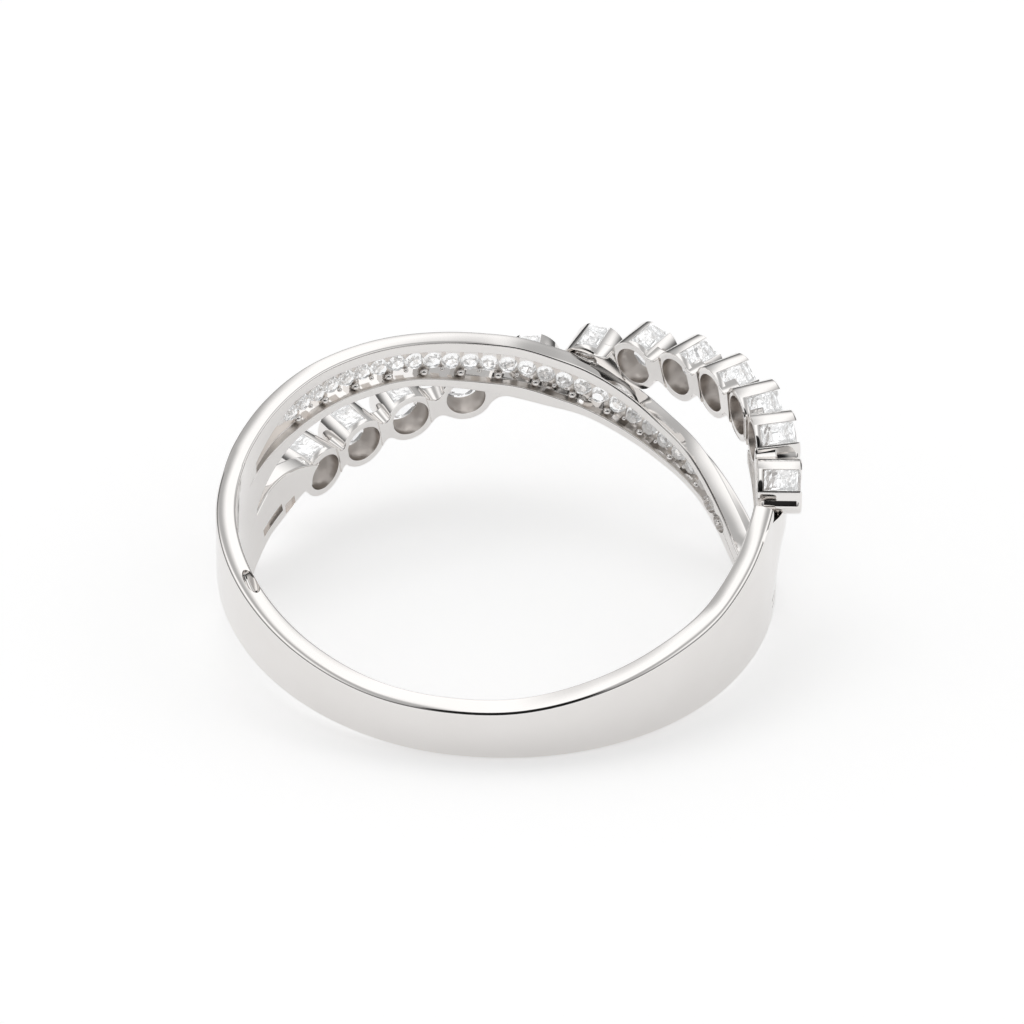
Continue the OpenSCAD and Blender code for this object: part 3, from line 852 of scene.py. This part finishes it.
def cup_chain():
    """All cups as one piece, their holes in the recess metal, dimmed and tinted as painted shade."""
    cup, in_hole = one_cup()
    places = [cup_spot(i) for i in range(len(CUPS))]
    chain = to_mesh("cups", joined([moved(cup, place) for place in places]))
    chain.data.polygons.foreach_set("material_index", np.tile(in_hole, len(CUPS)).astype(np.int32))
    return chain


def flat_bars():
    """Two flat bars, one beside each of the first two cups, toward the shoulder."""
    bar = block(-0.84, -0.4, 0.1, 0.76, 0.1, CUP_H - 0.06)
    bars = [moved(bar, cup_spot(i) @ turned("Z", 10)) for i in (0, 1)]
    return bevelled(to_mesh("flat_bars", joined(bars)), 0.14, 5)


def web(i):
    """Web from cup i to the next: a rounded rectangle carried along the line between the cups' centres. It
    widens toward both ends, by the square of the way from its middle, and turns from one cup's lean to the
    next."""
    p, q = cup_spot(i), cup_spot(i + 1)
    t = np.linspace(0, 1, 13)[:, None]
    a, b = p[:3, 3], q[:3, 3]
    along = (b - a) / np.linalg.norm(b - a)
    out = (1 - t) * p[:3, 2] + t * q[:3, 2]
    out /= np.linalg.norm(out, axis=1, keepdims=True)
    side = np.cross(out, along)
    side /= np.linalg.norm(side, axis=1, keepdims=True)
    gap = 0.74 * CUP_R / np.linalg.norm(b - a)
    centre = a + (b - a) * (gap + t * (1 - 2 * gap))
    half = (0.42 + 0.2 * (2 * t - 1) ** 2) * CUP_R
    z0, z1 = 0 * t + 0.003, 0 * t + 0.5 * CUP_H
    corners = [np.concatenate(pair, 1) for pair in ((-half, z0), (half, z0), (half, z1), (-half, z1))]
    profile = rounded(np.stack(corners, 1), [0.05] * 4)
    return swept(centre[:, None] + side[:, None] * profile[..., :1] + out[:, None] * profile[..., 1:])


def solder_feet():
    """Three short feet on which the cups stand where they pass over the narrow strand."""
    feet = []
    for i, table, up in FEET:
        b = CUPS[i][0]
        off = CUPS[i][2] / 100 * OVER
        foot = block(-0.4, 0.4, -0.15, 0.15, 0, WALL / 4 + off - WALL + 0.3)
        feet.append(moved(foot, spot(b, r_in() + WALL * 0.75, float(high(table, b)) + up)))
    return bevelled(to_mesh("solder_feet", joined(feet)), 0.05, 3)


def studio_floor():
    """Pale floor that glows a little, and a little more where the camera sees it."""
    h = FLOOR_HALF
    corners = np.array([(-h, -h, 0), (h, -h, 0), (h, h, 0), (-h, h, 0)], float)
    floor = to_mesh("floor", (corners, np.array([[0, 1, 2, 3]]), np.zeros((0, 3), int)))
    material = bpy.data.materials.new("Studio floor")
    material.use_nodes = True
    nodes, link = material.node_tree.nodes, material.node_tree.links.new
    surface = nodes["Principled BSDF"]
    surface.inputs["Base Color"].default_value = (*colours().floor, 1)
    surface.inputs["Roughness"].default_value = 0.9
    surface.inputs["Specular IOR Level"].default_value = 0.1
    surface.inputs["Emission Color"].default_value = (1, 1, 1, 1)
    surface.inputs["Emission Strength"].default_value = 0.3 * colours().light
    path, glow = nodes.new("ShaderNodeLightPath"), nodes.new("ShaderNodeEmission")
    more, pick = nodes.new("ShaderNodeAddShader"), nodes.new("ShaderNodeMixShader")
    glow.inputs["Strength"].default_value = 0.08 * colours().light
    link(surface.outputs[0], more.inputs[0])
    link(glow.outputs[0], more.inputs[1])
    link(path.outputs["Is Camera Ray"], pick.inputs[0])
    link(surface.outputs[0], pick.inputs[1])
    link(more.outputs[0], pick.inputs[2])
    link(pick.outputs[0], nodes["Material Output"].inputs["Surface"])
    floor.data.materials.append(material)


def studio_camera(scene):
    """Camera at the photograph's angle."""
    lean = math.radians(REST_LEAN)
    aim = Vector((REST_MOVE[0], REST_MOVE[1] - CAMERA_AIM * math.sin(lean),
                  REST_MOVE[2] + CAMERA_AIM * math.cos(lean))) / 1000
    data = bpy.data.cameras.new("camera")
    camera = bpy.data.objects.new("camera", data)
    scene.collection.objects.link(camera)
    camera.location = aim + CAMERA_FAR * Vector(TO_CAMERA)
    camera.rotation_euler = (math.pi / 2 - CAMERA_UP, 0, 0)
    data.lens = FOCAL_PX / FRAME_PX * SENSOR
    data.sensor_width = SENSOR
    data.shift_x = SHIFT_PX / FRAME_PX
    data.clip_start, data.clip_end = 0.02, 20
    scene.camera = camera


def studio_light(scene):
    """Large softbox above and behind the ring, which no metal mirrors."""
    data = bpy.data.lights.new("softbox", "AREA")
    data.shape, data.size, data.size_y = "RECTANGLE", 0.5, 0.4
    data.energy = 0.55 * colours().light
    light = bpy.data.objects.new("softbox", data)
    light.location = SOFTBOX_AT
    light.rotation_euler = (-Vector(SOFTBOX_AT)).to_track_quat("-Z", "Y").to_euler()
    light.visible_glossy = False
    scene.collection.objects.link(light)


def studio_world(scene):
    """Surround. The metal mirrors a light that grows with the height Z of a direction, is dimmer at middle
    distances from X = 0 to either side, and has a dark gap toward the camera. Matt faces are lit by an even
    light, and the camera sees a plain pale tone."""
    world = bpy.data.worlds.new("studio")
    scene.world = world
    world.use_nodes = True
    new, link = world.node_tree.nodes.new, world.node_tree.links.new
    world.node_tree.nodes.clear()
    place, path, split = new("ShaderNodeTexCoord"), new("ShaderNodeLightPath"), new("ShaderNodeSeparateXYZ")

    toward, gap = new("ShaderNodeVectorMath"), new("ShaderNodeMapRange")
    toward.operation = "DOT_PRODUCT"
    toward.inputs[1].default_value = TO_CAMERA
    gap.interpolation_type = "SMOOTHSTEP"
    gap.inputs["From Min"].default_value = math.cos(math.radians(GAP_FROM))
    gap.inputs["From Max"].default_value = math.cos(math.radians(GAP_TO))
    gap.inputs["To Min"].default_value = 1.0
    gap.inputs["To Max"].default_value = 0.02

    rise = new("ShaderNodeMapRange")
    rise.interpolation_type = "SMOOTHSTEP"
    rise.inputs["From Min"].default_value = 0.06
    rise.inputs["From Max"].default_value = 0.6
    rise.inputs["To Min"].default_value = 0.12
    rise.inputs["To Max"].default_value = 1.2

    aside, sides = new("ShaderNodeMath"), new("ShaderNodeValToRGB")
    aside.operation = "ABSOLUTE"
    ramp = sides.color_ramp
    ramp.interpolation = "EASE"
    ramp.elements[0].position, ramp.elements[0].color = 0.08, (1, 1, 1, 1)
    ramp.elements[1].position, ramp.elements[1].color = 0.32, (0.42, 0.42, 0.42, 1)
    ramp.elements.new(0.46).color = (0.42, 0.42, 0.42, 1)
    ramp.elements.new(0.8).color = (1, 1, 1, 1)

    both, all_three = new("ShaderNodeMath"), new("ShaderNodeMath")
    both.operation = all_three.operation = "MULTIPLY"
    mirrored, even, seen = (new("ShaderNodeBackground") for _ in range(3))
    mirrored.inputs["Color"].default_value = (1, 1, 1, 1)
    even.inputs["Strength"].default_value = 0.8 * colours().light
    seen.inputs["Color"].default_value = (0.97, 0.97, 0.97, 1)
    matt_or_not, seen_or_not = new("ShaderNodeMixShader"), new("ShaderNodeMixShader")

    link(place.outputs["Generated"], toward.inputs[0])
    link(place.outputs["Generated"], split.inputs[0])
    link(toward.outputs["Value"], gap.inputs["Value"])
    link(split.outputs["Z"], rise.inputs["Value"])
    link(split.outputs["X"], aside.inputs[0])
    link(aside.outputs[0], sides.inputs["Fac"])
    link(rise.outputs["Result"], both.inputs[0])
    link(sides.outputs["Color"], both.inputs[1])
    link(gap.outputs["Result"], all_three.inputs[0])
    link(both.outputs[0], all_three.inputs[1])
    link(all_three.outputs[0], mirrored.inputs["Strength"])
    link(path.outputs["Is Diffuse Ray"], matt_or_not.inputs[0])
    link(mirrored.outputs[0], matt_or_not.inputs[1])
    link(even.outputs[0], matt_or_not.inputs[2])
    link(path.outputs["Is Camera Ray"], seen_or_not.inputs[0])
    link(matt_or_not.outputs[0], seen_or_not.inputs[1])
    link(seen.outputs[0], seen_or_not.inputs[2])
    link(seen_or_not.outputs[0], new("ShaderNodeOutputWorld").inputs["Surface"])


class MESH_OT_ring_band(bpy.types.Operator):
    """Plain band: a wall carried round the back of the ring, with a scoop in its rim"""

    bl_idname = "mesh.ring_band"
    bl_label = "Band"

    def execute(self, context):
        scoop_high = float(band_high(BAND_TOP, SCOOP_AT)) - 0.02
        scoop = moved(bead(*SCOOP, 32, 20), spot(SCOOP_AT, r_in() + 0.22, scoop_high))
        metal_piece(carved(to_mesh("band", band_wall()), scoop))
        return {"FINISHED"}


class MESH_OT_ring_strand(bpy.types.Operator):
    """Narrow strand: two rails with a groove between, round seats and long windows cut through its floor"""

    bl_idname = "mesh.ring_strand"
    bl_label = "Narrow strand"

    def execute(self, context):
        strand = to_mesh("strand", strand_wall())
        for cut in strand_cuts():
            carved(strand, cut)
        second_finish(strand, in_strand_recess)
        # Seats and ledge take the satin metal, whose dimming and tint are painted shade
        metal_piece(strand, 30, satin_metal_with_painted_shade())
        return {"FINISHED"}


class MESH_OT_ring_roots(bpy.types.Operator):
    """Two roots of the strand of cups: a pierced leaf on the left and a flared wall on the right"""

    bl_idname = "mesh.ring_roots"
    bl_label = "Roots"

    def execute(self, context):
        metal_piece(left_root())
        metal_piece(right_root())
        return {"FINISHED"}


class MESH_OT_ring_cups(bpy.types.Operator):
    """Chain of cups: turned walls with a hole, a seat and two side windows, and what joins them"""

    bl_idname = "mesh.ring_cups"
    bl_label = "Cups"

    def execute(self, context):
        # The cups' holes take the recess metal, whose dimming and tint are painted shade
        metal_piece(cup_chain(), 28, recess_metal_with_painted_shade())
        metal_piece(flat_bars())
        metal_piece(to_mesh("webs", joined([web(i) for i in range(len(CUPS) - 1)])))
        metal_piece(solder_feet())
        return {"FINISHED"}


class MESH_OT_ring_stones(bpy.types.Operator):
    """Cut stones: one in each cup, and the row of small ones in the narrow strand"""

    bl_idname = "mesh.ring_stones"
    bl_label = "Stones"

    def execute(self, context):
        cut = brilliant(sizes().large_stone * 1000, 0.25, 0.6, 0.6, 0.55)
        large = joined([moved(cut, shift(0, 0, 1.16)), side_facets()])
        for i in range(len(CUPS)):
            name = f"large_stone_{i + 1}"
            stone_piece(to_mesh(f"cut_{name}", moved(large, cup_spot(i))), name)
        d = sizes().small_stone * 1000
        row = []
        for k, b in enumerate(small_angles()):
            odd = k % 2
            cut = brilliant(d if odd else d * 1.05, 0.1, 0.3, 0.56, 0.66)
            row.append(moved(cut, spot(b, r_in() + 0.42 - 0.03 * odd, float(small_high(b)), 10 * k)))
        stone_piece(to_mesh("cut_small_stones", joined(row)), "small_stones")
        return {"FINISHED"}


class MESH_OT_ring_prongs(bpy.types.Operator):
    """Bead prongs: small eggs of metal between the small stones and the lower rail"""

    bl_idname = "mesh.ring_prongs"
    bl_label = "Bead prongs"

    def execute(self, context):
        beads = []
        for k, b in enumerate(small_angles()[:-1] + SMALL_PITCH / 2):
            halves, out, down = BEADS[k % 2]
            beads.append(moved(bead(*halves), spot(b, r_in() + out, float(small_high(b)) - down)))
        metal_piece(to_mesh("bead_prongs", joined(beads)), 60, nodes=())
        return {"FINISHED"}


class MESH_OT_ring_studio(bpy.types.Operator):
    """Studio: pale floor, camera, soft overhead light, bright surround with a dark gap at the camera"""

    bl_idname = "mesh.ring_studio"
    bl_label = "Studio"

    def execute(self, context):
        studio_floor()
        studio_camera(context.scene)
        studio_light(context.scene)
        studio_world(context.scene)
        context.scene.view_settings.view_transform = "Standard"
        return {"FINISHED"}


class VIEW3D_PT_crossover_ring(bpy.types.Panel):
    """Sizes, colours and building steps of the crossover ring"""

    bl_label = "Crossover ring"
    bl_idname = "VIEW3D_PT_crossover_ring"
    bl_space_type = "VIEW_3D"
    bl_region_type = "UI"
    bl_category = "Crossover ring"

    def draw(self, context):
        column = self.layout.column()
        for group in (context.scene.crossover_ring_sizes, context.scene.crossover_ring_colours):
            for name in group.__annotations__:
                column.prop(group, name)
        for operator in OPERATORS:
            column.operator(operator.bl_idname)


OPERATORS = (MESH_OT_ring_band, MESH_OT_ring_strand, MESH_OT_ring_roots, MESH_OT_ring_cups,
             MESH_OT_ring_stones, MESH_OT_ring_prongs, MESH_OT_ring_studio)
CLASSES = (CrossoverRingSizes, CrossoverRingColours, *OPERATORS, VIEW3D_PT_crossover_ring)


def register():
    """Registers the classes, and puts the sizes and colours on the scene."""
    for item in CLASSES:
        bpy.utils.register_class(item)
    bpy.types.Scene.crossover_ring_sizes = bpy.props.PointerProperty(type=CrossoverRingSizes)
    bpy.types.Scene.crossover_ring_colours = bpy.props.PointerProperty(type=CrossoverRingColours)


def unregister():
    """Takes back what register did."""
    del bpy.types.Scene.crossover_ring_sizes
    del bpy.types.Scene.crossover_ring_colours
    for item in reversed(CLASSES):
        bpy.utils.unregister_class(item)


def main():
    for old in list(bpy.data.objects):
        if old.type in ("LIGHT", "CAMERA") or old.name == "Cube":
            bpy.data.objects.remove(old)
    register()
    bpy.ops.mesh.ring_band()
    bpy.ops.mesh.ring_strand()
    bpy.ops.mesh.ring_roots()
    bpy.ops.mesh.ring_cups()
    bpy.ops.mesh.ring_stones()
    bpy.ops.mesh.ring_prongs()
    bpy.ops.mesh.ring_studio()


if __name__ == "__main__":
    main()
